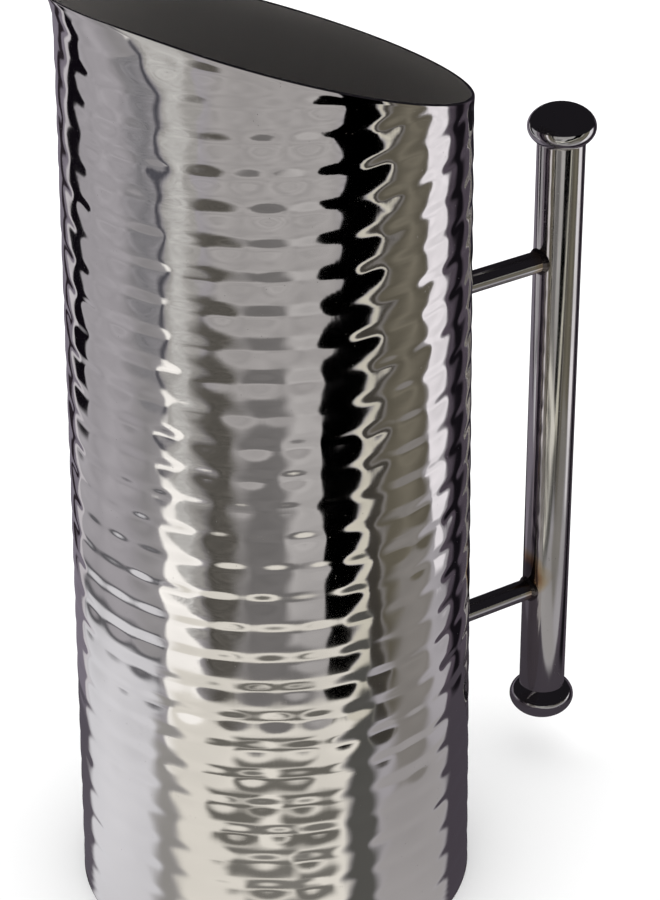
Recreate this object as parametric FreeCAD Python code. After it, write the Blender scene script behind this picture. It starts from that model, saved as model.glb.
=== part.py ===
"""Hammered steel water pitcher with a slanted mouth and a straight bar handle.

Frame: +Z up, origin on the body's axis at the table, handle along +X, pouring lip along -X. Millimetres.
Each piece is built by its own function and written to parts/NODE.step.
"""

import FreeCAD
import Part

import math
import os

from FreeCAD import Vector

# Body, rolled from sheet and narrowing a little towards the mouth
base_diameter = 104.0  # outside of the wall at the table
side_lean = 0.63  # degrees that the wall leans inwards
sheet = 1.0  # wall thickness
mouth_height = 235.5  # height of the mouth's plane on the body's axis
mouth_slant = 19.7  # degrees, the mouth is low at the handle and high at the lip

# Pouring lip, pressed out of the wall at the high side of the mouth
lip_reach = 6.0  # how far the lip stands out at its tip
lip_depth = 25.0  # how far below the tip the lip starts
lip_half_angle = 34.0  # degrees of the wall, each side of the tip

# Base pan, a disc whose flange points down inside the wall
pan_sheet = 1.0
pan_recess = 5.0  # underside of the pan above the table
pan_corner = 2.2  # outer corner radius
pan_fit_gap = 0.03  # between the flange and the wall
seam_height = 1.2  # weld metal under the flange

# Handle
hand_gap = 33.4  # clear space between the wall and the grip
tube_diameter = 12.7
tube_wall = 1.0
rod_diameter = 5.8
lower_rod_height = 54.2
upper_rod_height = 154.2
tube_overhang = 32.5  # tube beyond each rod's axis
rod_weld_leg = 0.7  # fillet where a rod meets the tube

# End caps, turned knobs pushed into the tube
cap_diameter = 18.0
cap_dome = 5.9  # height of the knob's outer half
cap_plug_length = 8.0
cap_fit_gap = 0.02

# Screws that hold the rods to the wall from the inside
screw_diameter = 4.0
screw_engagement = 8.0  # length of thread inside the rod
screw_hole_gap = 0.15  # radial, in the wall and the washers
thread_gap = 0.02  # radial, in the rod's tapped hole
tapped_spare_depth = 2.0
screw_head_diameter = 7.6
screw_head_height = 2.3
hex_across_flats = 2.5
hex_depth = 1.3
washer_diameter = 9.6
washer_thickness = 0.8
seal_diameter = 10.6
seal_thickness = 1.0

# Derived sizes
base_radius = base_diameter / 2
lean_slope = math.tan(math.radians(side_lean))
mouth_slope = math.tan(math.radians(mouth_slant))
tube_radius = tube_diameter / 2
rod_radius = rod_diameter / 2
screw_radius = screw_diameter / 2
cap_radius = cap_diameter / 2
lip_direction = math.pi
handle_middle = (upper_rod_height + lower_rod_height) / 2

points_round = 48  # points in each closed section of the body
plain_levels = 6  # sections below the lip
lip_levels = 9  # steps in the lip's height
seam_direction = -math.pi / 2  # away from the lip and the handle
mouth_spare = 8.0  # body above the lip's tip, which the mouth's plane cuts away


def wall_radius(z):
    """Outside radius of the plain wall."""
    return base_radius - lean_slope * z


# The lip's tip lies on the mouth's plane, so its height follows from its own reach
tip_reach = (wall_radius(mouth_height) + lip_reach - lean_slope * mouth_slope * lip_reach) / (
    1 + lean_slope * mouth_slope
)
tip_height = mouth_height + mouth_slope * tip_reach
lip_start = tip_height - lip_depth
body_top = tip_height + mouth_spare
tube_axis_x = wall_radius(handle_middle) + hand_gap + tube_radius


def lip_share_round(angle):
    """1 at the lip's tip, falling smoothly to 0 at its sides."""
    away = abs(math.remainder(angle - lip_direction, 2 * math.pi))
    half = math.radians(lip_half_angle)
    return math.cos(math.pi / 2 * away / half) ** 2 if away < half else 0.0


def lip_share_up(z):
    """0 where the lip starts, 1 at its tip, and growing further above it."""
    return max(0.0, (z - lip_start) / lip_depth) ** 2


def body_radius(angle, z):
    """Outside radius of the body, with the lip."""
    return wall_radius(z) + lip_reach * lip_share_round(angle) * lip_share_up(z)


def body_surface(inset, heights):
    """Smooth surface through sections of the body at the given heights, inset from the outside."""
    angles = [seam_direction + 2 * math.pi * i / points_round for i in range(points_round + 1)]
    rings = []
    for z in heights:
        radii = [body_radius(angle, z) - inset for angle in angles[:-1]]
        points = [Vector(r * math.cos(a), r * math.sin(a), z) for r, a in zip(radii, angles)]
        ring = Part.BSplineCurve()
        ring.interpolate(Points=points, PeriodicFlag=True, Parameters=angles)
        rings.append(ring)
    columns = []
    for poles in zip(*[ring.getPoles() for ring in rings]):
        column = Part.BSplineCurve()
        column.interpolate(Points=list(poles), Parameters=heights)
        columns.append(column)
    surface = Part.BSplineSurface()
    surface.buildFromPolesMultsKnots(
        [column.getPoles() for column in columns],
        rings[0].getMultiplicities(),
        columns[0].getMultiplicities(),
        rings[0].getKnots(),
        columns[0].getKnots(),
        True,
        False,
        rings[0].Degree,
        columns[0].Degree,
    )
    return surface


def filled_body(inset):
    """Solid with the body's outer form, inset from the outside, before the mouth is cut."""
    lip_step = (body_top - lip_start) / lip_levels
    heights = [lip_start * i / plain_levels for i in range(plain_levels)]
    heights += [lip_start + lip_step * i for i in range(lip_levels + 1)]
    side = body_surface(inset, heights).toShape()
    rims = [edge for edge in side.Edges if edge.BoundBox.ZLength < 0.001]
    low, high = sorted(rims, key=lambda edge: edge.BoundBox.ZMin)
    bottom, top = Part.Face(Part.Wire([low])), Part.Face(Part.Wire([high]))
    for face, up in ((bottom, -1), (top, 1)):
        if face.normalAt(0, 0).z * up < 0:
            face.reverse()
    return Part.Solid(Part.Shell([bottom, side, top]))


def above_mouth():
    """Block that covers everything above the mouth's plane."""
    size = 4 * base_diameter
    block = Part.makeBox(size, size, size, Vector(-size / 2, -size / 2, 0))
    block.rotate(Vector(0, 0, 0), Vector(0, 1, 0), mouth_slant)
    block.translate(Vector(0, 0, mouth_height))
    return block


def rod_cylinder(radius, x_from, x_to, height):
    """Cylinder along X at a rod's height."""
    return Part.makeCylinder(radius, x_to - x_from, Vector(x_from, 0, height), Vector(1, 0, 0))


def make_body_wall(outer, inner):
    """Sheet wall, cut by the slanted mouth and drilled for the two screws."""
    wall = outer.cut(inner).cut(above_mouth())
    for height in (lower_rod_height, upper_rod_height):
        wall = wall.cut(screw_passage(height))
    return wall


def inner_radius(z):
    """Inside radius of the plain wall."""
    return wall_radius(z) - sheet


def flange_radius(z):
    """Outside radius of the base pan's flange."""
    return inner_radius(z) - pan_fit_gap


def xz(x, z):
    return Vector(x, 0, z)


def revolved(outline):
    """Solid of revolution about the body's axis from the closed outline of its section."""
    face = Part.Face(Part.Wire(outline))
    return face.revolve(Vector(0, 0, 0), Vector(0, 0, 1), 360)


def quarter_turn(centre, radius):
    """Arc from straight above its centre to straight out from it, in the section's plane."""
    reach = radius * math.sqrt(0.5)
    points = [xz(0, radius), xz(reach, reach), xz(radius, 0)]
    return Part.Arc(*[centre + point for point in points]).toShape()


def make_base_pan():
    """Disc with a flange that points down along the wall."""
    pan_top = pan_recess + pan_sheet
    bend_height = pan_top - pan_corner
    bend = xz(flange_radius(bend_height) - pan_corner, bend_height)
    flange_end = xz(flange_radius(seam_height), seam_height)
    sheet_across = xz(pan_sheet, 0)
    outline = [
        Part.makeLine(xz(0, pan_recess), xz(0, pan_top)),
        Part.makeLine(xz(0, pan_top), bend + xz(0, pan_corner)),
        quarter_turn(bend, pan_corner),
        Part.makeLine(bend + xz(pan_corner, 0), flange_end),
        Part.makeLine(flange_end, flange_end - sheet_across),
        Part.makeLine(flange_end - sheet_across, bend + xz(pan_corner, 0) - sheet_across),
        quarter_turn(bend, pan_corner - pan_sheet),
        Part.makeLine(bend + xz(0, pan_corner - pan_sheet), xz(0, pan_recess)),
    ]
    return revolved(outline)


def make_base_seam():
    """Ring of weld metal that closes the joint between the wall and the flange at the table."""
    inside = flange_radius(seam_height) - pan_sheet
    corners = [
        xz(inside, 0),
        xz(inner_radius(0), 0),
        xz(inner_radius(seam_height), seam_height),
        xz(inside, seam_height),
        xz(inside, 0),
    ]
    return revolved(Part.makePolygon(corners).Edges)


def make_handle_tube():
    """Straight tube, parallel to the body's axis."""
    low_end = Vector(tube_axis_x, 0, lower_rod_height - tube_overhang)
    length = upper_rod_height - lower_rod_height + 2 * tube_overhang
    outside = Part.makeCylinder(tube_radius, length, low_end)
    bore = Part.makeCylinder(tube_radius - tube_wall, length, low_end)
    return outside.cut(bore)


def make_end_cap(end_height, up):
    """Knob with a plug that sits in the tube's end. up is 1 for the top cap and -1 for the bottom one."""
    seat_to_middle = cap_dome * math.sqrt(1 - (tube_radius / cap_radius) ** 2)
    stretch = FreeCAD.Matrix()
    stretch.scale(cap_radius, cap_radius, cap_dome)
    knob = Part.makeSphere(1.0).transformGeometry(stretch)
    knob.translate(Vector(tube_axis_x, 0, end_height + up * seat_to_middle))
    size = 2 * cap_diameter
    beyond_end = Part.makeBox(size, size, size, Vector(tube_axis_x - size / 2, -size / 2, end_height))
    if up < 0:
        beyond_end.translate(Vector(0, 0, -size))
    plug_radius = tube_radius - tube_wall - cap_fit_gap
    plug = Part.makeCylinder(
        plug_radius, cap_plug_length, Vector(tube_axis_x, 0, end_height), Vector(0, 0, -up)
    )
    return knob.common(beyond_end).fuse(plug).removeSplitter()


def filled_tube():
    """Solid bar of the tube's outside, for coping what meets it."""
    length = 2 * (upper_rod_height + tube_overhang)
    return Part.makeCylinder(tube_radius, length, Vector(tube_axis_x, 0, -tube_overhang))


def make_rod(height, outer):
    """Stand-off rod, coped to the wall and to the tube, and tapped for the screw."""
    rod = rod_cylinder(rod_radius, 0, tube_axis_x, height).cut(outer).cut(filled_tube())
    hole_end = wall_radius(height) + screw_engagement + tapped_spare_depth
    return rod.cut(rod_cylinder(screw_radius + thread_gap, 0, hole_end, height))


def make_rod_weld(height):
    """Fillet of weld metal round the rod where it meets the tube."""
    foot_radius = rod_radius + rod_weld_leg
    start = tube_axis_x - tube_radius - rod_weld_leg
    end = tube_axis_x - math.sqrt(tube_radius**2 - foot_radius**2)
    flare = Part.makeCone(rod_radius, foot_radius, rod_weld_leg, Vector(start, 0, height), Vector(1, 0, 0))
    foot = rod_cylinder(foot_radius, start + rod_weld_leg, end, height)
    rod = rod_cylinder(rod_radius, 0, tube_axis_x, height)
    return flare.fuse(foot).removeSplitter().cut(rod).cut(filled_tube())


def seal_face_x(height):
    """Flat inner face of the seal, which the backing washer rests on."""
    wall_at_seal_edge = math.sqrt(inner_radius(height) ** 2 - (seal_diameter / 2) ** 2)
    return wall_at_seal_edge - seal_thickness


def screw_passage(height):
    """Clearance hole for the screw, from inside the body to past its wall."""
    return rod_cylinder(screw_radius + screw_hole_gap, 0, base_diameter, height)


def make_seal_washer(height, inner):
    """Soft ring between the wall and the backing washer, shaped to the wall on its outer side."""
    ring = rod_cylinder(seal_diameter / 2, seal_face_x(height), base_radius, height)
    return ring.common(inner).cut(screw_passage(height))


def make_backing_washer(height):
    """Flat steel washer under the screw's head."""
    seat = seal_face_x(height)
    return rod_cylinder(washer_diameter / 2, seat - washer_thickness, seat, height).cut(screw_passage(height))


def make_screw(height):
    """Button-head screw with a hexagon socket, driven from inside the body."""
    seat = seal_face_x(height) - washer_thickness
    head_top = seat - screw_head_height
    head_radius = screw_head_diameter / 2
    shank = rod_cylinder(screw_radius, seat, wall_radius(height) + screw_engagement, height)
    dome_radius = (head_radius**2 + screw_head_height**2) / (2 * screw_head_height)
    dome = Part.makeSphere(dome_radius, Vector(head_top + dome_radius, 0, height))
    head = dome.common(rod_cylinder(head_radius, head_top, seat, height))
    corner_radius = hex_across_flats / math.sqrt(3)
    corners = []
    for i in range(7):
        turn = math.radians(60 * i)
        corners.append(
            Vector(head_top, corner_radius * math.cos(turn), height + corner_radius * math.sin(turn))
        )
    socket = Part.Face(Part.makePolygon(corners)).extrude(Vector(hex_depth, 0, 0))
    return head.fuse(shank).removeSplitter().cut(socket)


def write(name, shape):
    """Writes one node and reports what it holds."""
    solids = shape.Solids
    whole = solids[0] if len(solids) == 1 else Part.makeCompound(solids)
    whole.exportStep(f"parts/{name}.step")
    volume = sum(s.Volume for s in solids)
    print(f"{name}: {len(solids)} solid, valid {whole.isValid()}, {volume:.1f} mm3")


def main():
    os.makedirs("parts", exist_ok=True)
    outer = filled_body(0.0)
    inner = filled_body(sheet)
    write("body_wall", make_body_wall(outer, inner))
    write("base_pan", make_base_pan())
    write("base_seam_weld", make_base_seam())
    write("handle_tube", make_handle_tube())
    write("upper_end_cap", make_end_cap(upper_rod_height + tube_overhang, 1))
    write("lower_end_cap", make_end_cap(lower_rod_height - tube_overhang, -1))
    for place, height in (("upper", upper_rod_height), ("lower", lower_rod_height)):
        write(f"{place}_handle_rod", make_rod(height, outer))
        write(f"{place}_rod_weld", make_rod_weld(height))
        write(f"{place}_seal_washer", make_seal_washer(height, inner))
        write(f"{place}_backing_washer", make_backing_washer(height))
        write(f"{place}_handle_screw", make_screw(height))


main()
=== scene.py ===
import math

import bpy
import numpy
from mathutils import Matrix, Vector


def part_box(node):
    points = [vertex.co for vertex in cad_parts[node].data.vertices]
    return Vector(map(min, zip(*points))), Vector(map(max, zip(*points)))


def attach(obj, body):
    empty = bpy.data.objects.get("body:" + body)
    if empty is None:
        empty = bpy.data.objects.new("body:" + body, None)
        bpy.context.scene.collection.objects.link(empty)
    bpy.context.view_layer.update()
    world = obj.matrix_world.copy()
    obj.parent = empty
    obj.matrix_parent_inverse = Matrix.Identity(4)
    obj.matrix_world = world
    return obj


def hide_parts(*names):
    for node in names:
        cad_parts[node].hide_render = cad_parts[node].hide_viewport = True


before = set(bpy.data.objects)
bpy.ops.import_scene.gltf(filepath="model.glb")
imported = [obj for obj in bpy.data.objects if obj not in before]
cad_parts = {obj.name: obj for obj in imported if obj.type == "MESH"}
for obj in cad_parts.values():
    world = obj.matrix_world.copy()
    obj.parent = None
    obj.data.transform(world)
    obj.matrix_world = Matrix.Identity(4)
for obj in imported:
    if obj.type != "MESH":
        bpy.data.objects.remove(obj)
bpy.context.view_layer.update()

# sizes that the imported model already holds
wallLow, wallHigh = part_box("body_wall")
tubeLow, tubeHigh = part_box("handle_tube")
upperRodLow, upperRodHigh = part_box("upper_handle_rod")
lowerRodLow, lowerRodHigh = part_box("lower_handle_rod")
tubeX = (tubeHigh.x + tubeLow.x) / 2
rodRadius = (upperRodHigh.z - upperRodLow.z) / 2
rodHeights = {
    "upper": (upperRodHigh.z + upperRodLow.z) / 2,
    "lower": (lowerRodHigh.z + lowerRodLow.z) / 2,
}


def newObject(name, mesh):
    obj = bpy.data.objects.new(name, mesh)
    bpy.context.scene.collection.objects.link(obj)
    return obj


def smoothStep(low, high, value):
    t = min(1.0, max(0.0, (value - low) / (high - low)))
    return t * t * (3 - 2 * t)


def newGroup(name, inputs, outputs):
    group = bpy.data.node_groups.new(name, "ShaderNodeTree")
    for label, kind, default in inputs:
        socket = group.interface.new_socket(label, in_out="INPUT", socket_type=kind)
        if default is not None:
            socket.default_value = default
    for label, kind in outputs:
        group.interface.new_socket(label, in_out="OUTPUT", socket_type=kind)
    given = group.nodes.new("NodeGroupInput").outputs
    result = group.nodes.new("NodeGroupOutput").inputs
    return group, given, result


def feed(tree, socket, value):
    if isinstance(value, bpy.types.NodeSocket):
        tree.links.new(value, socket)
    else:
        socket.default_value = value


def mathNode(tree, operation, a, b=0.0, clamp=False):
    node = tree.nodes.new("ShaderNodeMath")
    node.operation = operation
    node.use_clamp = clamp
    feed(tree, node.inputs[0], a)
    feed(tree, node.inputs[1], b)
    return node.outputs[0]


def vectorNode(tree, operation, a, b):
    node = tree.nodes.new("ShaderNodeVectorMath")
    node.operation = operation
    feed(tree, node.inputs[0], a)
    feed(tree, node.inputs[1], b)
    return node.outputs["Value"] if operation in ("LENGTH", "DISTANCE") else node.outputs[0]


def noiseNode(tree, vector, scale, detail=2.0):
    node = tree.nodes.new("ShaderNodeTexNoise")
    node.inputs["Detail"].default_value = detail
    feed(tree, node.inputs["Scale"], scale)
    tree.links.new(vector, node.inputs["Vector"])
    return node.outputs["Fac"]


def mixColors(tree, blend, share, a, b):
    node = tree.nodes.new("ShaderNodeMix")
    node.data_type = "RGBA"
    node.blend_type = blend
    feed(tree, node.inputs[0], share)
    feed(tree, node.inputs[6], a)
    feed(tree, node.inputs[7], b)
    return node.outputs[2]


def objectPlace(tree):
    return tree.nodes.new("ShaderNodeTexCoord").outputs["Object"]


wear = {
    "smudgeStart": 0.42,  # the noise above this is smudged
    "smudgeContrast": 4.0,
    "pitScatter": 260.0,  # scale of the noise that picks which pits are there
    "pitRarity": 0.63,
    # how far the pits are painted darker: painted shade in the pits
    "pitShade": 0.5,
    "pitRoughness": 0.3,
    "pitDepth": 2.0,  # in heights of a tooling line
    "lineMiddle": 0.4,  # noise at which the lines leave the roughness as it is
    # dark colour of the smudges' dirt and of the pits' painted shade
    "dirtAndPitShade": (0.05, 0.045, 0.04, 1.0),
}


def makeFinishGroup():
    # fine lines from tooling, soft smudges and tiny pits with painted shade, for every metal and for the
    # seals
    group, given, result = newGroup("fineFinish", [
        ("Color", "NodeSocketColor", (0.8, 0.8, 0.8, 1.0)),
        ("Lines", "NodeSocketVector", None),
        ("Roughness", "NodeSocketFloat", 0.1),
        ("Line Roughness", "NodeSocketFloat", 0.05),
        ("Smudge Scale", "NodeSocketFloat", 30.0),
        ("Smudge Roughness", "NodeSocketFloat", 0.05),
        ("Smudge Shade", "NodeSocketFloat", 0.1),
        ("Pit Scale", "NodeSocketFloat", 400.0),
        ("Pit Size", "NodeSocketFloat", 0.1),
    ], [("Color", "NodeSocketColor"), ("Roughness", "NodeSocketFloat"), ("Height", "NodeSocketFloat")])
    place = objectPlace(group)
    lines = noiseNode(group, given["Lines"], 1.0, 3.0)
    smudges = noiseNode(group, place, given["Smudge Scale"], 4.0)
    smudges = mathNode(group, "SUBTRACT", smudges, wear["smudgeStart"])
    smudgeShare = mathNode(group, "MULTIPLY", smudges, wear["smudgeContrast"], clamp=True)
    pits = group.nodes.new("ShaderNodeTexVoronoi")
    group.links.new(place, pits.inputs["Vector"])
    group.links.new(given["Pit Scale"], pits.inputs["Scale"])
    scatter = noiseNode(group, place, wear["pitScatter"], 0.0)
    sparse = mathNode(group, "GREATER_THAN", scatter, wear["pitRarity"])
    inPit = mathNode(group, "LESS_THAN", pits.outputs["Distance"], given["Pit Size"])
    pitShare = mathNode(group, "MULTIPLY", inPit, sparse)
    shade = mathNode(group, "MULTIPLY", smudgeShare, given["Smudge Shade"])
    # the pits are painted darker: painted shade in the pits
    shade = mathNode(group, "ADD", shade, mathNode(group, "MULTIPLY", pitShare, wear["pitShade"]))
    group.links.new(mixColors(group, "MIX", shade, given["Color"], wear["dirtAndPitShade"]), result["Color"])
    centred = mathNode(group, "SUBTRACT", lines, wear["lineMiddle"])
    lineRough = mathNode(group, "MULTIPLY", centred, given["Line Roughness"])
    smudgeRough = mathNode(group, "MULTIPLY", smudgeShare, given["Smudge Roughness"])
    pitRough = mathNode(group, "MULTIPLY", pitShare, wear["pitRoughness"])
    rough = mathNode(group, "ADD", given["Roughness"], lineRough)
    rough = mathNode(group, "ADD", rough, smudgeRough)
    rough = mathNode(group, "ADD", rough, pitRough, clamp=True)
    group.links.new(rough, result["Roughness"])
    sunk = mathNode(group, "MULTIPLY", pitShare, wear["pitDepth"])
    group.links.new(mathNode(group, "SUBTRACT", lines, sunk), result["Height"])
    return group


heat = {
    "wanderScale": 160.0,
    "wander": 0.5,  # how far the rings stray, as a share of their reach
    # distance from the middle as a share of the reach, and the tint there
    "rings": [
        (0.30, (0.10, 0.07, 0.08, 1)),
        (0.42, (0.30, 0.14, 0.06, 1)),
        (0.60, (0.72, 0.42, 0.16, 1)),
        (0.80, (0.95, 0.80, 0.55, 1)),
        (1.0, (1, 1, 1, 1)),
    ],
    "spotFromJoint": (0.0004, 0.0008, 0.0055),  # middle of the tube's tint, from the lower rod's joint
    # reach in metres and strength of the tint on each kind of piece
    "tube": (0.0075, 0.85),
    "rod": (0.0045, 0.6),
    "weld": (0.012, 0.7),
}


def makeTintGroup():
    # dark, brown and straw rings that welding heat leaves round a place
    group, given, result = newGroup("heatTint", [
        ("Color", "NodeSocketColor", (0.8, 0.8, 0.8, 1.0)),
        ("Centre", "NodeSocketVector", None),
        ("Reach", "NodeSocketFloat", 0.01),
        ("Strength", "NodeSocketFloat", 0.8),
    ], [("Color", "NodeSocketColor")])
    place = objectPlace(group)
    away = vectorNode(group, "DISTANCE", place, given["Centre"])
    wander = mathNode(group, "SUBTRACT", noiseNode(group, place, heat["wanderScale"]), 0.5)
    wander = mathNode(group, "MULTIPLY", wander, heat["wander"])
    away = mathNode(group, "ADD", mathNode(group, "DIVIDE", away, given["Reach"]), wander)
    ramp = group.nodes.new("ShaderNodeValToRGB")
    group.links.new(away, ramp.inputs["Fac"])
    rings = ramp.color_ramp.elements
    rings[0].position, rings[0].color = heat["rings"][0]
    rings[1].position, rings[1].color = heat["rings"][-1]
    for position, color in heat["rings"][1:-1]:
        rings.new(position).color = color
    tinted = mixColors(group, "MULTIPLY", given["Strength"], given["Color"], ramp.outputs["Color"])
    group.links.new(tinted, result["Color"])
    return group


ripple = {
    "wanderScale": 500.0,
    "wander": 2.5,
    # the valleys between the ripples are painted darker: painted shade
    "shade": 0.35,  # how dark the valleys are
    "valley": (0.3, 0.28, 0.26, 1),
    "lineShare": 0.2,  # what is left of the tooling lines on a bead
    "seamCount": 70.0,
    "rodCount": 9.0,
}


def makeRippleGroup():
    # the overlapping ripples of a weld bead, counted round its ring, with painted shade in their valleys
    group, given, result = newGroup("weldRipples", [
        ("Turn", "NodeSocketFloat", 0.0),
        ("Count", "NodeSocketFloat", 60.0),
    ], [("Height", "NodeSocketFloat"), ("Shade", "NodeSocketFloat")])
    wander = noiseNode(group, objectPlace(group), ripple["wanderScale"])
    wander = mathNode(group, "MULTIPLY", wander, ripple["wander"])
    wave = mathNode(group, "ADD", mathNode(group, "MULTIPLY", given["Turn"], given["Count"]), wander)
    crest = mathNode(group, "ABSOLUTE", mathNode(group, "SINE", wave))
    group.links.new(crest, result["Height"])
    valley = mathNode(group, "SUBTRACT", 1.0, crest)
    group.links.new(mathNode(group, "MULTIPLY", valley, ripple["shade"]), result["Shade"])
    return group


print("frame loaded")

wall = {
    "lean": 0.63,  # degrees inwards
    "slant": 19.7,  # degrees of the mouth
    "sheet": 0.001,
    "lipReach": 0.006,
    "lipDepth": 0.025,
    "lipHalfAngle": 34.0,
    "edgeRound": 0.00045,
    "plainRim": (0.0006, 0.004),  # the marks fade in between these distances below the rim
    "plainFoot": (0.0075, 0.014),  # the same inside, above the pan's flange
    "plainRodFoot": (1.0, 2.2),  # the same round a rod's foot, in radii of the rod
    "columns": 240,
    # where the mesh rows stand in one row of marks
    "rowShares": [0.0, 0.12, 0.24, 0.35, 0.43, 0.51, 0.58, 0.65, 0.73, 0.82, 0.91],
    "plainBand": 0.003,  # the last whole row of marks ends at least this far below the rim's low side
    "rimZoneRows": 34,  # mesh rows between the last whole row of marks and the rim
    "innerRows": 56,
    "rimTurns": (22.5, 45.0, 67.5, 90.0),  # degrees of each step round the rim's edges
    "footTurns": (30.0, 60.0, 90.0),  # the same at the foot
}
hammer = {
    "rowPitch": 0.00844,
    "firstRow": -0.00334,  # height of the first row's lower edge
    "stepDepth": 0.00034,  # each row leans out upwards by this much and steps back in below the next
    "stepWidth": 0.44,  # share of the pitch
    "stepPlace": 0.62,
    "sway": 0.7,  # rounds each row between its steps
    "marksRound": 30,
    "ringShare": 0.5,  # how much of the step runs right round, the rest belongs to single marks
    "markShare": 1.0,
    "waver": 0.05,  # how far a row strays, as a share of the pitch
    "stray": 0.5,  # how unevenly the marks are spaced
    "seed": 7,
    "swayStart": 0.35,  # where in its row the sway leans out most
    "rowShift": 5.0,  # marks by which one row may be turned against the next
    "leastStrength": 0.4,  # of a single mark
    "strengthSpread": 0.9,
    "restDepth": 0.33,  # what the whole hammered zone is sunk by, in step depths
    "strayScale": 60.0,  # scales of the noises behind the stray, the swell and the waver
    "swellScale": 50.0,
    "waverScale": 45.0,
}
leanSlope = math.tan(math.radians(wall["lean"]))
slantSlope = math.tan(math.radians(wall["slant"]))
baseRadius = wallHigh.y
tipHeight = wallHigh.z
tipReach = -wallLow.x
mouthHeight = tipHeight - slantSlope * tipReach
lipStart = tipHeight - wall["lipDepth"]


def wallRadius(z):
    return baseRadius - leanSlope * z


def bodyRadius(angle, z):
    away = abs(math.remainder(angle - math.pi, 2 * math.pi))
    half = math.radians(wall["lipHalfAngle"])
    shareRound = math.cos(math.pi / 2 * away / half) ** 2 if away < half else 0.0
    shareUp = max(0.0, (z - lipStart) / wall["lipDepth"]) ** 2
    return wallRadius(z) + wall["lipReach"] * shareRound * shareUp


def rimHeight(angle, inset):
    z = mouthHeight
    for _ in range(30):  # the lip's reach depends on the height, so the two are settled together
        z = mouthHeight - slantSlope * (bodyRadius(angle, z) - inset) * math.cos(angle)
    return z


def hammerShare(angle, z, rim, inside):
    # how fully a point is hammered: not at the rim, at the rods' feet or where the pan fits
    share = smoothStep(*wall["plainRim"], rim - z)
    nearest, farthest = wall["plainRodFoot"]
    for height in rodHeights.values():
        onHandleSide = math.cos(angle) > 0.5
        distance = math.hypot(wallRadius(z) * math.sin(angle), z - height) if onHandleSide else 1.0
        share *= smoothStep(rodRadius * nearest, rodRadius * farthest, distance)
    if inside:
        share *= smoothStep(*wall["plainFoot"], z)
    return share


def levelHeights(top):
    # heights of the mesh rows, closer together where a row of marks steps back
    pitch, start = hammer["rowPitch"], hammer["firstRow"]
    wholeRows = int((rimHeight(0.0, 0.0) - wall["plainBand"] - start) / pitch)
    low, leastGap = wall["edgeRound"], 0.0002
    heights = [start + (row + share) * pitch for row in range(-1, wholeRows) for share in wall["rowShares"]]
    heights = [low] + [z for z in heights if z > low + leastGap]
    last = start + wholeRows * pitch
    count = wall["rimZoneRows"]
    return heights + [last + (top - last) * i / count for i in range(count + 1)]


def buildPlainWall():
    # a closed shell: up the outside, over the rounded rim, down the inside, round the bottom edge
    sheet, rounding = wall["sheet"], wall["edgeRound"]
    outside, inside, edge = range(3)
    vertices, shares, insides, faces = [], [], [], []
    profileLength = 0
    for column in range(wall["columns"]):
        angle = 2 * math.pi * column / wall["columns"]
        outerRim = rimHeight(angle, 0.0)
        profile = [(0.0, z, outside) for z in levelHeights(outerRim - rounding)]
        for turn in wall["rimTurns"]:
            a = math.radians(turn)
            inset = rounding * (1 - math.cos(a))
            profile.append((inset, rimHeight(angle, inset) - rounding * (1 - math.sin(a)), edge))
        for turn in reversed(wall["rimTurns"]):
            a = math.radians(turn)
            inset = sheet - rounding * (1 - math.cos(a))
            profile.append((inset, rimHeight(angle, inset) - rounding * (1 - math.sin(a)), edge))
        high, low = rimHeight(angle, sheet) - rounding, rounding
        for row in range(wall["innerRows"] + 1):
            profile.append((sheet, high + (low - high) * row / wall["innerRows"], inside))
        for turn in wall["footTurns"]:
            a = math.radians(turn)
            profile.append((sheet - rounding * (1 - math.cos(a)), rounding * (1 - math.sin(a)), edge))
        for turn in reversed(wall["footTurns"]):
            a = math.radians(turn)
            profile.append((rounding * (1 - math.cos(a)), rounding * (1 - math.sin(a)), edge))
        profileLength = len(profile)
        for inset, z, side in profile:
            radius = bodyRadius(angle, z) - inset
            vertices.append((radius * math.cos(angle), radius * math.sin(angle), z))
            shares.append(0.0 if side == edge else hammerShare(angle, z, outerRim, side == inside))
            insides.append(1.0 if side == inside else 0.0)
    for column in range(wall["columns"]):
        here, there = column * profileLength, (column + 1) % wall["columns"] * profileLength
        for k in range(profileLength):
            following = (k + 1) % profileLength
            faces.append((here + k, there + k, there + following, here + following))
    mesh = bpy.data.meshes.new("hammeredWall")
    mesh.from_pydata(vertices, [], faces)
    for name, values in (("hammerShare", shares), ("inside", insides)):
        attribute = mesh.attributes.new(name, "FLOAT", "POINT")
        attribute.data.foreach_set("value", values)
    return newObject("hammeredWall", mesh)


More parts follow.
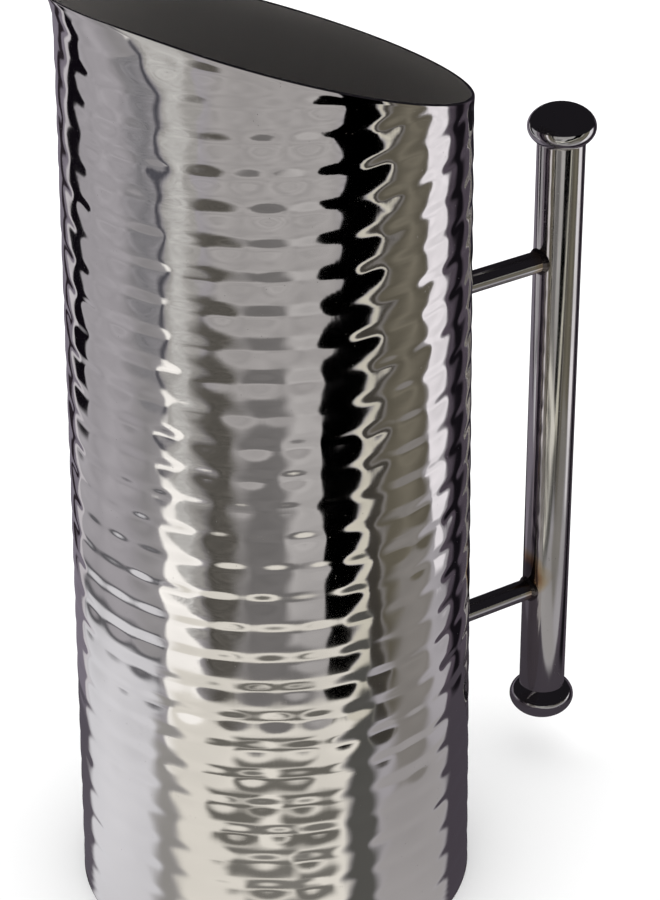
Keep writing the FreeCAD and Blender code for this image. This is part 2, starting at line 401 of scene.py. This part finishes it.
def hammerTree(material):
    # sinks rows of hammer marks into a wall, from each point's height and its angle round the body
    tree = bpy.data.node_groups.new("hammerMarks", "GeometryNodeTree")
    face = tree.interface
    face.new_socket("Geometry", in_out="INPUT", socket_type="NodeSocketGeometry")
    sizes = [
        ("Row Pitch", "NodeSocketFloat", hammer["rowPitch"]),
        ("First Row", "NodeSocketFloat", hammer["firstRow"]),
        ("Step Depth", "NodeSocketFloat", hammer["stepDepth"]),
        ("Step Width", "NodeSocketFloat", hammer["stepWidth"]),
        ("Step Place", "NodeSocketFloat", hammer["stepPlace"]),
        ("Sway", "NodeSocketFloat", hammer["sway"]),
        ("Marks Round", "NodeSocketInt", hammer["marksRound"]),
        ("Ring Share", "NodeSocketFloat", hammer["ringShare"]),
        ("Mark Share", "NodeSocketFloat", hammer["markShare"]),
        ("Waver", "NodeSocketFloat", hammer["waver"]),
        ("Stray", "NodeSocketFloat", hammer["stray"]),
        ("Seed", "NodeSocketInt", hammer["seed"]),
    ]
    identifiers = {}
    for label, kind, value in sizes:
        socket = face.new_socket(label, in_out="INPUT", socket_type=kind)
        identifiers[label] = (socket.identifier, value)
    face.new_socket("Geometry", in_out="OUTPUT", socket_type="NodeSocketGeometry")
    nodes, links = tree.nodes, tree.links
    given = nodes.new("NodeGroupInput")
    result = nodes.new("NodeGroupOutput")

    def put(node, values):
        for socket, value in zip(node.inputs, values):
            if isinstance(value, (int, float)):
                socket.default_value = value
            else:
                links.new(value, socket)
        return node.outputs[0]

    def calc(operation, *values):
        node = nodes.new("ShaderNodeMath")
        node.operation = operation
        return put(node, values)

    def combine(*values):
        return put(nodes.new("ShaderNodeCombineXYZ"), values)

    def randomShare(number, offset):
        node = nodes.new("FunctionNodeRandomValue")
        node.data_type = "FLOAT"
        links.new(number, node.inputs["ID"])
        links.new(calc("ADD", given.outputs["Seed"], offset), node.inputs["Seed"])
        return node.outputs[1]

    def noise(vector, scale):
        node = nodes.new("ShaderNodeTexNoise")
        node.inputs["Scale"].default_value = scale
        node.inputs["Detail"].default_value = 1.0
        links.new(vector, node.inputs["Vector"])
        return calc("SUBTRACT", node.outputs[0], 0.5)

    place = nodes.new("GeometryNodeInputPosition").outputs[0]
    split = nodes.new("ShaderNodeSeparateXYZ")
    links.new(place, split.inputs[0])
    around = calc("ARCTAN2", split.outputs[1], split.outputs[0])

    # up and down: share runs from 0 to 1 over each row, which leans outwards and then steps back
    aboveFirst = calc("SUBTRACT", split.outputs[2], given.outputs["First Row"])
    rowPlace = calc("DIVIDE", aboveFirst, given.outputs["Row Pitch"])
    row = calc("FLOOR", rowPlace)
    share = calc("SUBTRACT", rowPlace, row)
    stepWidth, stepPlace = given.outputs["Step Width"], given.outputs["Step Place"]
    stepStart = calc("SUBTRACT", stepPlace, calc("MULTIPLY", stepWidth, 0.5))
    t = calc("DIVIDE", calc("SUBTRACT", share, stepStart), stepWidth)
    t = calc("MINIMUM", calc("MAXIMUM", t, 0.0), 1.0)
    smooth = calc("MULTIPLY", calc("MULTIPLY", t, t), calc("SUBTRACT", 3.0, calc("MULTIPLY", t, 2.0)))
    swayed = calc("SINE", calc("MULTIPLY", calc("SUBTRACT", share, hammer["swayStart"]), 2 * math.pi))
    swayed = calc("ADD", swayed, math.sin(2 * math.pi * hammer["swayStart"]))
    swayed = calc("MULTIPLY", swayed, calc("DIVIDE", given.outputs["Sway"], 2 * math.pi))
    wave = calc("ADD", calc("SUBTRACT", share, smooth), swayed)

    # sideways: along runs from -1 to 1 over each mark, and every row starts at its own place
    turns = calc("MULTIPLY", calc("DIVIDE", around, 2 * math.pi), given.outputs["Marks Round"])
    rowLayer = calc("MULTIPLY", row, 0.31)  # gives each row its own layer of the noise
    wander = noise(combine(split.outputs[0], split.outputs[1], rowLayer), hammer["strayScale"])
    strayed = calc("MULTIPLY", wander, given.outputs["Stray"])
    rowDraw, markDraw = 37, 11  # keep the rows' random numbers apart from the marks'
    shifted = calc("MULTIPLY", randomShare(row, rowDraw), hammer["rowShift"])
    markPlace = calc("ADD", calc("ADD", turns, shifted), strayed)
    column = calc("FLOOR", markPlace)
    along = calc("SUBTRACT", calc("MULTIPLY", calc("SUBTRACT", markPlace, column), 2.0), 1.0)
    bump = calc("SUBTRACT", 1.0, calc("MULTIPLY", along, along))
    bump = calc("MULTIPLY", bump, bump)
    ringNumber = calc("FLOORED_MODULO", column, given.outputs["Marks Round"])
    markNumber = calc("ADD", ringNumber, calc("MULTIPLY", row, 100.0))  # no row has 100 marks
    strength = calc("MULTIPLY", randomShare(markNumber, markDraw), hammer["strengthSpread"])
    strength = calc("ADD", strength, hammer["leastStrength"])
    mark = calc("MULTIPLY", calc("MULTIPLY", bump, strength), given.outputs["Mark Share"])
    swell = calc("ADD", noise(place, hammer["swellScale"]), 1.0)
    reach = calc("MULTIPLY", calc("ADD", mark, given.outputs["Ring Share"]), swell)
    sink = calc("ADD", calc("MULTIPLY", wave, reach), hammer["restDepth"])
    sink = calc("MULTIPLY", sink, given.outputs["Step Depth"])
    hammered = nodes.new("GeometryNodeInputNamedAttribute")
    hammered.data_type = "FLOAT"
    hammered.inputs["Name"].default_value = "hammerShare"
    inward = calc("MULTIPLY", calc("MULTIPLY", sink, hammered.outputs[0]), -1.0)
    upDown = calc("MULTIPLY", given.outputs["Waver"], given.outputs["Row Pitch"])
    waver = calc("MULTIPLY", calc("MULTIPLY", noise(place, hammer["waverScale"]), 2.0), upDown)
    move = combine(
        calc("MULTIPLY", calc("COSINE", around), inward),
        calc("MULTIPLY", calc("SINE", around), inward),
        calc("MULTIPLY", waver, hammered.outputs[0]),
    )
    moved = nodes.new("GeometryNodeSetPosition")
    links.new(given.outputs["Geometry"], moved.inputs["Geometry"])
    links.new(move, moved.inputs["Offset"])
    shaded = nodes.new("GeometryNodeSetShadeSmooth")
    links.new(moved.outputs[0], shaded.inputs["Geometry"])
    realized = nodes.new("GeometryNodeRealizeInstances")
    links.new(shaded.outputs[0], realized.inputs[0])
    finish = nodes.new("GeometryNodeSetMaterial")
    finish.inputs["Material"].default_value = material
    links.new(realized.outputs[0], finish.inputs["Geometry"])
    links.new(finish.outputs[0], result.inputs[0])
    return tree, identifiers


def bakeModifier(obj):
    # turns what the node modifier makes into the object's own plain mesh
    view = bpy.context.evaluated_depsgraph_get()
    mesh = bpy.data.meshes.new_from_object(obj.evaluated_get(view))
    obj.modifiers.clear()
    old = obj.data
    obj.data = mesh
    mesh.name = obj.name
    bpy.data.meshes.remove(old)


# how each surface looks; lineBump is the height of its tooling lines in metres, and metallic is 1 unless it
# is given
finishes = {
    "hammeredSteel": {
        "color": (0.90, 0.87, 0.85, 1), "roughness": 0.035, "lineRoughness": 0.05, "lineBump": 0.0000016,
        "smudgeScale": 22.0, "smudgeRoughness": 0.05, "smudgeShade": 0.05,
        "pitScale": 700.0, "pitSize": 0.07,
    },
    "tubeSteel": {
        "color": (0.80, 0.78, 0.75, 1), "roughness": 0.07, "lineRoughness": 0.16, "lineBump": 0.0000030,
        "smudgeScale": 60.0, "smudgeRoughness": 0.05, "smudgeShade": 0.10,
        "pitScale": 900.0, "pitSize": 0.12,
    },
    "capSteel": {
        "color": (0.80, 0.79, 0.77, 1), "roughness": 0.05, "lineRoughness": 0.08, "lineBump": 0.0000020,
        "smudgeScale": 90.0, "smudgeRoughness": 0.04, "smudgeShade": 0.08,
        "pitScale": 900.0, "pitSize": 0.10,
    },
    "rodSteel": {
        "color": (0.80, 0.79, 0.77, 1), "roughness": 0.07, "lineRoughness": 0.10, "lineBump": 0.0000020,
        "smudgeScale": 90.0, "smudgeRoughness": 0.04, "smudgeShade": 0.08,
        "pitScale": 900.0, "pitSize": 0.10,
    },
    "baseSteel": {
        "color": (0.72, 0.71, 0.70, 1), "roughness": 0.16, "lineRoughness": 0.20, "lineBump": 0.0000060,
        "smudgeScale": 25.0, "smudgeRoughness": 0.12, "smudgeShade": 0.12,
        "pitScale": 500.0, "pitSize": 0.14, "metallic": 0.9,
    },
    "seamWeldMetal": {
        "color": (0.62, 0.60, 0.57, 1), "roughness": 0.30, "lineRoughness": 0.10, "lineBump": 0.0000600,
        "smudgeScale": 60.0, "smudgeRoughness": 0.10, "smudgeShade": 0.25,
        "pitScale": 500.0, "pitSize": 0.18,
    },
    "rodWeldMetal": {
        "color": (0.66, 0.62, 0.57, 1), "roughness": 0.20, "lineRoughness": 0.10, "lineBump": 0.0000300,
        "smudgeScale": 200.0, "smudgeRoughness": 0.10, "smudgeShade": 0.20,
        "pitScale": 900.0, "pitSize": 0.14,
    },
    "fastenerSteel": {
        "color": (0.70, 0.69, 0.67, 1), "roughness": 0.20, "lineRoughness": 0.16, "lineBump": 0.0000050,
        "smudgeScale": 150.0, "smudgeRoughness": 0.08, "smudgeShade": 0.12,
        "pitScale": 900.0, "pitSize": 0.14,
    },
    "sealSilicone": {
        "color": (0.62, 0.61, 0.58, 1), "roughness": 0.55, "lineRoughness": 0.20, "lineBump": 0.0000100,
        "smudgeScale": 300.0, "smudgeRoughness": 0.15, "smudgeShade": 0.15,
        "pitScale": 900.0, "pitSize": 0.10, "metallic": 0.0,
    },
}
# how close the tooling lines are, along x, y and z
lines = {
    "wall": (1900.0, 1900.0, 260.0),
    "tube": (2600.0, 2600.0, 45.0),
    "rod": (60.0, 2600.0, 2600.0),
    "turned": 2600.0,
    "base": 1800.0,
}
finishGroup = makeFinishGroup()
tintGroup = makeTintGroup()
rippleGroup = makeRippleGroup()


def groupNode(tree, group, values):
    node = tree.nodes.new("ShaderNodeGroup")
    node.node_tree = group
    for label, value in values.items():
        feed(tree, node.inputs[label], value)
    return node.outputs


def straightLines(tree, closeness):
    # lines that run along the axis with the smallest closeness
    return vectorNode(tree, "MULTIPLY", objectPlace(tree), closeness)


def turnedParts(tree, centre, axis):
    # a point's distance from a turning axis (0, 1 or 2 for x, y or z), its place along it and its angle
    split = tree.nodes.new("ShaderNodeSeparateXYZ")
    tree.links.new(vectorNode(tree, "SUBTRACT", objectPlace(tree), centre), split.inputs[0])
    across = [output for k, output in enumerate(split.outputs) if k != axis]
    squares = [mathNode(tree, "MULTIPLY", output, output) for output in across]
    distance = mathNode(tree, "SQRT", mathNode(tree, "ADD", *squares))
    return distance, split.outputs[axis], mathNode(tree, "ARCTAN2", across[0], across[1])


def turnedLines(tree, centre, axis, closeness):
    distance, height, angle = turnedParts(tree, centre, axis)
    node = tree.nodes.new("ShaderNodeCombineXYZ")
    tree.links.new(mathNode(tree, "MULTIPLY", distance, closeness), node.inputs[0])
    tree.links.new(mathNode(tree, "MULTIPLY", height, closeness), node.inputs[1])
    tree.links.new(angle, node.inputs[2])
    return node.outputs[0]


def makeMaterial(finishName, linesOf, part="", heated=None, beads=None):
    look = finishes[finishName]
    material = bpy.data.materials.new(finishName + part)
    material.use_nodes = True
    tree = material.node_tree
    shader = tree.nodes["Principled BSDF"]
    shader.inputs["Metallic"].default_value = look.get("metallic", 1.0)
    finish = groupNode(tree, finishGroup, {
        "Color": look["color"],
        "Lines": linesOf(tree),
        "Roughness": look["roughness"],
        "Line Roughness": look["lineRoughness"],
        "Smudge Scale": look["smudgeScale"],
        "Smudge Roughness": look["smudgeRoughness"],
        "Smudge Shade": look["smudgeShade"],
        "Pit Scale": look["pitScale"],
        "Pit Size": look["pitSize"],
    })
    color, height = finish["Color"], finish["Height"]
    if heated:
        centre, (reach, strength) = heated
        values = {"Color": color, "Centre": centre, "Reach": reach, "Strength": strength}
        color = groupNode(tree, tintGroup, values)["Color"]
    if beads:
        centre, axis, count = beads
        turn = turnedParts(tree, centre, axis)[2]
        bead = groupNode(tree, rippleGroup, {"Turn": turn, "Count": count})
        # the ripple valleys are painted darker: painted shade
        color = mixColors(tree, "MULTIPLY", bead["Shade"], color, ripple["valley"])
        fineHeight = mathNode(tree, "MULTIPLY", height, ripple["lineShare"])
        height = mathNode(tree, "ADD", bead["Height"], fineHeight)
    bump = tree.nodes.new("ShaderNodeBump")
    bump.inputs["Distance"].default_value = look["lineBump"]
    tree.links.new(height, bump.inputs["Height"])
    tree.links.new(bump.outputs[0], shader.inputs["Normal"])
    tree.links.new(color, shader.inputs["Base Color"])
    tree.links.new(finish["Roughness"], shader.inputs["Roughness"])
    return material


satin = {"roughness": 0.12, "dullness": 0.05}  # what the inside has over the polished outside


def dullInside(material):
    # the inside of the wall is left less polished than the outside
    tree = material.node_tree
    shader = tree.nodes["Principled BSDF"]
    inside = tree.nodes.new("ShaderNodeAttribute")
    inside.attribute_name = "inside"
    polished = shader.inputs["Roughness"].links[0].from_socket
    rougher = mathNode(tree, "MULTIPLY", inside.outputs["Fac"], satin["roughness"])
    tree.links.new(mathNode(tree, "ADD", polished, rougher), shader.inputs["Roughness"])
    duller = mathNode(tree, "MULTIPLY", inside.outputs["Fac"], satin["dullness"])
    tree.links.new(mathNode(tree, "SUBTRACT", 1.0, duller), shader.inputs["Metallic"])


def alongWall(tree):
    return straightLines(tree, lines["wall"])


hammeredSteel = makeMaterial("hammeredSteel", alongWall)
dullInside(hammeredSteel)

plainWall = buildPlainWall()
tree, identifiers = hammerTree(hammeredSteel)
modifier = plainWall.modifiers.new("hammerMarks", "NODES")
modifier.node_group = tree
for identifier, value in identifiers.values():
    modifier[identifier] = value
bakeModifier(plainWall)
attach(plainWall, "root")
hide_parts("body_wall")
print("hammered wall made", len(plainWall.data.polygons))

upperJoint = (tubeLow.x, 0.0, rodHeights["upper"])
lowerJoint = (tubeLow.x, 0.0, rodHeights["lower"])
tubeCentre = (tubeX, 0.0, 0.0)
bodyCentre = (0.0, 0.0, 0.0)
heatedSpot = tuple(a + b for a, b in zip(lowerJoint, heat["spotFromJoint"]))


def alongTube(tree):
    return straightLines(tree, lines["tube"])


def alongRod(tree):
    return straightLines(tree, lines["rod"])


def roundTube(tree):
    return turnedLines(tree, tubeCentre, 2, lines["turned"])


def roundBase(tree):
    return turnedLines(tree, bodyCentre, 2, lines["base"])


nodeMaterials = {
    "body_wall": hammeredSteel,
    "base_pan": makeMaterial("baseSteel", roundBase),
    "base_seam_weld": makeMaterial("seamWeldMetal", roundBase, beads=(bodyCentre, 2, ripple["seamCount"])),
    "handle_tube": makeMaterial("tubeSteel", alongTube, heated=(heatedSpot, heat["tube"])),
    "upper_end_cap": makeMaterial("capSteel", roundTube, "Upper"),
    "lower_end_cap": makeMaterial("capSteel", roundTube, "Lower"),
}
for side, joint in (("upper", upperJoint), ("lower", lowerJoint)):
    title = side.capitalize()
    rodCentre = (0.0, 0.0, rodHeights[side])

    def roundRod(tree, centre=rodCentre):
        return turnedLines(tree, centre, 0, lines["turned"])

    beads = (rodCentre, 0, ripple["rodCount"])
    rod = makeMaterial("rodSteel", alongRod, title, heated=(joint, heat["rod"]))
    weld = makeMaterial("rodWeldMetal", alongRod, title, heated=(joint, heat["weld"]), beads=beads)
    nodeMaterials[side + "_handle_rod"] = rod
    nodeMaterials[side + "_rod_weld"] = weld
    nodeMaterials[side + "_handle_screw"] = makeMaterial("fastenerSteel", roundRod, title + "Screw")
    nodeMaterials[side + "_backing_washer"] = makeMaterial("fastenerSteel", roundRod, title + "Washer")
    nodeMaterials[side + "_seal_washer"] = makeMaterial("sealSilicone", roundRod, title)
for name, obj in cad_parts.items():
    obj.data.materials.clear()
    obj.data.materials.append(nodeMaterials[name])
print("materials made", len(nodeMaterials))

camera = {
    "place": (-0.3636, -0.5576, 0.490),
    "heading": 34.4,  # degrees from +Y towards +X
    "down": 28.78,
    "roll": 0.2,
    "lens": 120.5,
    "nearest": 0.01,
    "farthest": 20,
}


def makeCamera():
    heading, down, roll = (math.radians(camera[key]) for key in ("heading", "down", "roll"))
    level = Vector((math.sin(heading), math.cos(heading), 0))
    forward = level * math.cos(down) + Vector((0, 0, -math.sin(down)))
    right = Vector((math.cos(heading), -math.sin(heading), 0))
    up = right.cross(forward)
    turnedRight = right * math.cos(roll) - up * math.sin(roll)
    turnedUp = right * math.sin(roll) + up * math.cos(roll)
    matrix = Matrix((turnedRight, turnedUp, -forward)).transposed().to_4x4()
    matrix.translation = Vector(camera["place"])
    data = bpy.data.cameras.new("camera")
    data.lens = camera["lens"]
    data.clip_start = camera["nearest"]
    data.clip_end = camera["farthest"]
    obj = newObject("camera", data)
    obj.matrix_world = matrix
    bpy.context.scene.camera = obj


stage = {
    "floorSize": 3.0,
    "floorColor": (0.82, 0.82, 0.82, 1),
    "floorRoughness": 0.9,
    "floorShine": 0.1,
    "skyColor": (1, 1, 1, 1),
    "skyStrength": 1.6,
    "darkColor": (0.8, 0.72, 0.9, 1),  # what reflections see where the card ends
    "darkStrength": 0.015,
}


def makeWorld():
    world = bpy.data.worlds.new("studio")
    bpy.context.scene.world = world
    world.use_nodes = True
    nodes, links = world.node_tree.nodes, world.node_tree.links
    nodes.clear()
    out = nodes.new("ShaderNodeOutputWorld")
    mix = nodes.new("ShaderNodeMixShader")
    soft = nodes.new("ShaderNodeBackground")
    soft.inputs["Color"].default_value = stage["skyColor"]
    soft.inputs["Strength"].default_value = stage["skyStrength"]
    dark = nodes.new("ShaderNodeBackground")
    dark.inputs["Color"].default_value = stage["darkColor"]
    dark.inputs["Strength"].default_value = stage["darkStrength"]
    path = nodes.new("ShaderNodeLightPath")
    links.new(path.outputs["Is Glossy Ray"], mix.inputs[0])
    links.new(soft.outputs[0], mix.inputs[1])
    links.new(dark.outputs[0], mix.inputs[2])
    links.new(mix.outputs[0], out.inputs[0])


def makeFloor():
    size = stage["floorSize"]
    mesh = bpy.data.meshes.new("floor")
    corners = [(-size, -size, 0), (size, -size, 0), (size, size, 0), (-size, size, 0)]
    mesh.from_pydata(corners, [], [(0, 1, 2, 3)])
    floor = newObject("floor", mesh)
    material = bpy.data.materials.new("paleFloor")
    material.use_nodes = True
    shader = material.node_tree.nodes["Principled BSDF"]
    shader.inputs["Base Color"].default_value = stage["floorColor"]
    shader.inputs["Roughness"].default_value = stage["floorRoughness"]
    shader.inputs["Specular IOR Level"].default_value = stage["floorShine"]
    mesh.materials.append(material)
    floor.visible_glossy = False


cameraAzimuth = -90.0 - camera["heading"]  # direction from the body to the camera

# Painted reflections: tones on one flat glowing card that only reflections see, laid out round the pitcher
# so that the wall shows painted bright and dark bands towards the camera. Every patch has its name, its
# tone, how soft its sides are in degrees, and its sides at some distances from the body's axis: (distance,
# from, to). The sides are the directions in which the wall throws its reflections, in degrees from the
# camera's direction. A later patch covers an earlier one.
paintedReflections = [
    ("paintedReflectionBase", (0.36, 0.35, 0.375), 1, [(0.0, -180, 180), (3.0, -180, 180)]),
    ("farLeft", (0.20, 0.18, 0.22), 5, [(0.10, -180, -142), (3.0, -180, -142)]),
    ("farLeftStreak", (0.02, 0.015, 0.02), 3, [(0.20, -156, -148), (3.0, -157, -149)]),
    ("leftEdge", (0.55, 0.53, 0.56), 2, [(0.12, -142, -137), (3.0, -142, -137)]),
    ("leftBlack", (0.004, 0.003, 0.005), 2, [(0.335, -137, -123), (0.42, -137, -122), (3.0, -137, -121)]),
    ("leftLow", (0.28, 0.275, 0.285), 20, [(0.20, -80, -60), (0.50, -80, -60)]),
    ("leftShade", (0.20, 0.20, 0.215), 22, [(0.44, -77, -60), (3.0, -80, -60)]),
    ("leftLine", (0.07, 0.07, 0.085), 3, [(0.36, -61, -58), (3.0, -62, -56)]),
    ("frontBright", (0.36, 0.355, 0.345), 3, [
        (0.24, -60, -36), (0.40, -57, -38), (0.60, -56, -36), (3.0, -56, -33),
    ]),
    ("frontCore", (0.50, 0.50, 0.49), 6, [(0.24, -54, -44), (3.0, -53, -41)]),
    ("frontWhite", (1.0, 0.99, 0.96), 3, [
        (0.16, -62, -28), (0.20, -62, -38), (0.24, -62, -46), (0.30, -62, -53), (0.37, -61, -57),
    ]),
    ("middle", (0.37, 0.36, 0.36), 10, [(0.14, -30, 40), (3.0, -30, 50)]),
    ("frontWarm", (0.10, 0.095, 0.085), 12, [
        (0.17, -36, -18), (0.36, -38, -17), (0.44, -42, -20), (0.50, -38, -28),
    ]),
    ("middleLow", (0.17, 0.165, 0.165), 14, [(0.14, -18, 26), (0.40, -14, 12)]),
    ("middleLight", (0.44, 0.43, 0.43), 8, [(0.24, 10, 32), (0.42, 12, 36)]),
    ("frontBlack", (0.0, 0.0, 0.0), 1.2, [
        (0.19, 32, 44), (0.24, 31, 47), (0.33, 30, 52), (0.42, 30, 56), (0.47, 31, 58), (0.50, 34, 60),
        (0.54, 41, 62), (0.66, 43, 68), (3.0, 44, 72),
    ]),
    ("cream", (0.60, 0.58, 0.50), 2, [
        (0.17, 43, 60), (0.24, 48, 56), (0.33, 53, 59), (0.42, 57, 62), (0.50, 61, 65), (0.56, 64, 67),
        (0.66, 69, 72), (3.0, 73, 76),
    ]),
    ("creamShade", (0.050, 0.046, 0.040), 3, [
        (0.17, 60, 70), (0.24, 56, 66), (0.33, 59, 66), (0.42, 62, 67), (0.50, 65, 69), (0.56, 67, 71),
        (0.66, 72, 75), (3.0, 76, 79),
    ]),
    ("olive", (0.108, 0.099, 0.076), 8, [
        (0.17, 70, 101), (0.24, 66, 101), (0.33, 66, 101), (0.42, 67, 101), (0.50, 69, 101), (0.56, 71, 101),
        (0.66, 75, 101), (3.0, 79, 101),
    ]),
    ("oliveLight", (0.165, 0.152, 0.120), 14, [(0.26, 77, 88), (0.60, 82, 94), (3.0, 84, 96)]),
    ("oliveLow", (0.22, 0.21, 0.20), 12, [(0.12, 74, 102), (0.26, 76, 102)]),
    ("whiteStrip", (0.80, 0.78, 0.82), 1.5, [
        (0.235, 108, 116), (0.30, 102, 118), (0.50, 100, 119), (3.0, 99, 119),
    ]),
    ("rightShade", (0.075, 0.062, 0.080), 3, [(0.12, 120, 180), (3.0, 119, 180)]),
    ("rightBlack", (0.006, 0.005, 0.007), 7, [(0.10, 128, 141), (3.0, 128, 143)]),
    ("farRight", (0.015, 0.012, 0.018), 6, [(0.10, 156, 180), (3.0, 156, 180)]),
    ("nearMiddle", (0.78, 0.76, 0.70), 8, [(0.0, -58, 44), (0.15, -58, 44), (0.185, -58, 50)]),
    ("ovalOne", (0.15, 0.145, 0.13), 8, [(0.148, -20, 20), (0.158, -22, 24)]),
    ("ovalTwo", (0.15, 0.145, 0.13), 7, [(0.122, -36, -8), (0.132, -38, -6)]),
    ("ovalThree", (0.15, 0.145, 0.13), 7, [(0.118, 6, 38), (0.128, 4, 40)]),
    ("ovalFour", (0.18, 0.175, 0.16), 7, [(0.098, -26, 12), (0.106, -28, 14)]),
    ("ovalFive", (0.18, 0.175, 0.16), 7, [(0.090, 14, 36), (0.097, 14, 38)]),
    ("ovalSix", (0.20, 0.195, 0.18), 7, [(0.076, -16, 24), (0.083, -16, 24)]),
    ("ovalSeven", (0.20, 0.195, 0.18), 7, [(0.066, -40, -10), (0.070, -40, -10)]),
    ("leftOutline", (0.09, 0.09, 0.10), 4, [(0.182, -136, -66), (0.197, -136, -66)]),
    ("nearLeft", (0.64, 0.645, 0.68), 10, [(0.0, -137, -72), (0.17, -137, -70), (0.180, -136, -66)]),
    ("nearSeam", (0.30, 0.295, 0.285), 12, [(0.0, -72, -56), (0.150, -72, -58)]),
    ("nearRight", (0.33, 0.32, 0.325), 12, [(0.0, 62, 119), (0.12, 66, 119)]),
    ("nearDark", (0.085, 0.085, 0.08), 7, [(0.0, 45, 64), (0.15, 44, 62), (0.19, 50, 60)]),
    ("nearLeftEdge", (0.10, 0.09, 0.11), 6, [(0.0, -180, -139), (0.11, -180, -139)]),
    ("nearRightEdge", (0.06, 0.052, 0.065), 6, [(0.0, 122, 180), (0.13, 121, 180)]),
]
paintedReflectionCard = {
    # the grain of these patches is painted into the reflections, not into the steel
    "grainy": ("frontBright", "frontCore", "frontWarm", "leftShade"),  # patches with a fine grain in them
    "fade": 0.10,  # how softly a patch ends towards and away from the body, as a share of the distance
    "columns": 720,
    "rings": 130,
    "firstRing": 0.046,  # distance from the axis
    "ringGrowth": 1.0325,
    "height": 0.0003,  # above the table
    "cloudScale": 9.0,
    "cloudShare": 0.55,  # how much the tones wander
    "grainCloseness": 420.0,
    "grainRound": 9.0,  # closeness of the grain in the other direction, round the body
    "grainShare": 3.0,
}


def softStep(low, high, values):
    t = numpy.clip((values - low) / (high - low), 0.0, 1.0)
    return t * t * (3 - 2 * t)


def paintedReflectionTones(places, distances):
    # painted reflection tone of each point of the card, from its own angle round the body and its distance
    directions = places.copy()
    mostOffset = 0.95
    for _ in range(8):
        offset = numpy.sin(numpy.radians(directions / 2)) * wallLow.y / distances
        directions = places - numpy.degrees(numpy.arcsin(numpy.clip(offset, -mostOffset, mostOffset)))
    colors = numpy.zeros((len(places), 3))
    grain = numpy.zeros(len(places))
    for name, tone, softness, keys in paintedReflections:
        reaches = [key[0] for key in keys]
        start = numpy.interp(distances, reaches, [key[1] for key in keys])
        end = numpy.interp(distances, reaches, [key[2] for key in keys])
        share = 1.0 - softStep(0.0, paintedReflectionCard["fade"] * reaches[-1], distances - reaches[-1])
        if reaches[0] > 0.0:
            share *= 1.0 - softStep(0.0, paintedReflectionCard["fade"] * reaches[0], reaches[0] - distances)
        if keys[0][1] > -180:
            share *= softStep(-softness / 2, softness / 2, directions - start)
        if keys[0][2] < 180:
            share *= 1.0 - softStep(-softness / 2, softness / 2, directions - end)
        colors += (numpy.array(tone) - colors) * share[:, None]
        grain += ((1.0 if name in paintedReflectionCard["grainy"] else 0.0) - grain) * share
    return numpy.concatenate([colors, grain[:, None]], axis=1)


# a glowing card of painted reflections, hidden from the camera and seen only in reflections
def makePaintedReflections():
    columns, rings = paintedReflectionCard["columns"], paintedReflectionCard["rings"]
    angles = numpy.tile(-180.0 + 360.0 * numpy.arange(columns) / columns, rings)
    distances = numpy.repeat(paintedReflectionCard["firstRing"] * paintedReflectionCard["ringGrowth"] ** numpy.arange(rings), columns)
    turned = numpy.radians(cameraAzimuth + angles)
    heights = numpy.full(len(angles), paintedReflectionCard["height"])
    vertices = numpy.stack([distances * numpy.cos(turned), distances * numpy.sin(turned), heights], axis=1)
    tones = paintedReflectionTones(angles, distances)
    faces = []
    for ring in range(rings - 1):
        for column in range(columns):
            here, there = ring * columns + column, ring * columns + (column + 1) % columns
            faces.append((here, there, there + columns, here + columns))
    mesh = bpy.data.meshes.new("paintedReflections")
    mesh.from_pydata(vertices.tolist(), [], faces)
    attribute = mesh.attributes.new("tone", "FLOAT_COLOR", "POINT")
    attribute.data.foreach_set("color", tones.ravel())
    material = bpy.data.materials.new("paintedReflections")
    material.use_nodes = True
    nodes, links = material.node_tree.nodes, material.node_tree.links
    nodes.clear()
    out = nodes.new("ShaderNodeOutputMaterial")
    # the card glows with the painted reflection tones, though it is no lamp
    glow = nodes.new("ShaderNodeEmission")
    tone = nodes.new("ShaderNodeAttribute")
    tone.attribute_name = "tone"
    tree = material.node_tree
    clouds = mathNode(tree, "SUBTRACT", noiseNode(tree, objectPlace(tree), paintedReflectionCard["cloudScale"], 1.0), 0.5)
    uneven = mathNode(tree, "MULTIPLY", clouds, paintedReflectionCard["cloudShare"])
    streaks = turnedLines(tree, bodyCentre, 2, paintedReflectionCard["grainCloseness"])
    streaks = vectorNode(tree, "MULTIPLY", streaks, (1.0, 1.0, paintedReflectionCard["grainRound"]))
    fine = mathNode(tree, "SUBTRACT", noiseNode(tree, streaks, 1.0, 3.0), 0.5)
    fine = mathNode(tree, "MULTIPLY", fine, paintedReflectionCard["grainShare"])
    uneven = mathNode(tree, "ADD", uneven, mathNode(tree, "MULTIPLY", fine, tone.outputs["Alpha"]))
    links.new(tone.outputs["Color"], glow.inputs["Color"])
    links.new(mathNode(tree, "ADD", uneven, 1.0), glow.inputs["Strength"])
    links.new(glow.outputs[0], out.inputs[0])
    mesh.materials.append(material)
    hideFromCamera(newObject("paintedReflections", mesh))


def hideFromCamera(card):
    card.visible_camera = card.visible_diffuse = card.visible_shadow = card.visible_transmission = False


makeCamera()
makeWorld()
makeFloor()
makePaintedReflections()
print("stage made")
bpy.context.scene.view_settings.view_transform = "Standard"
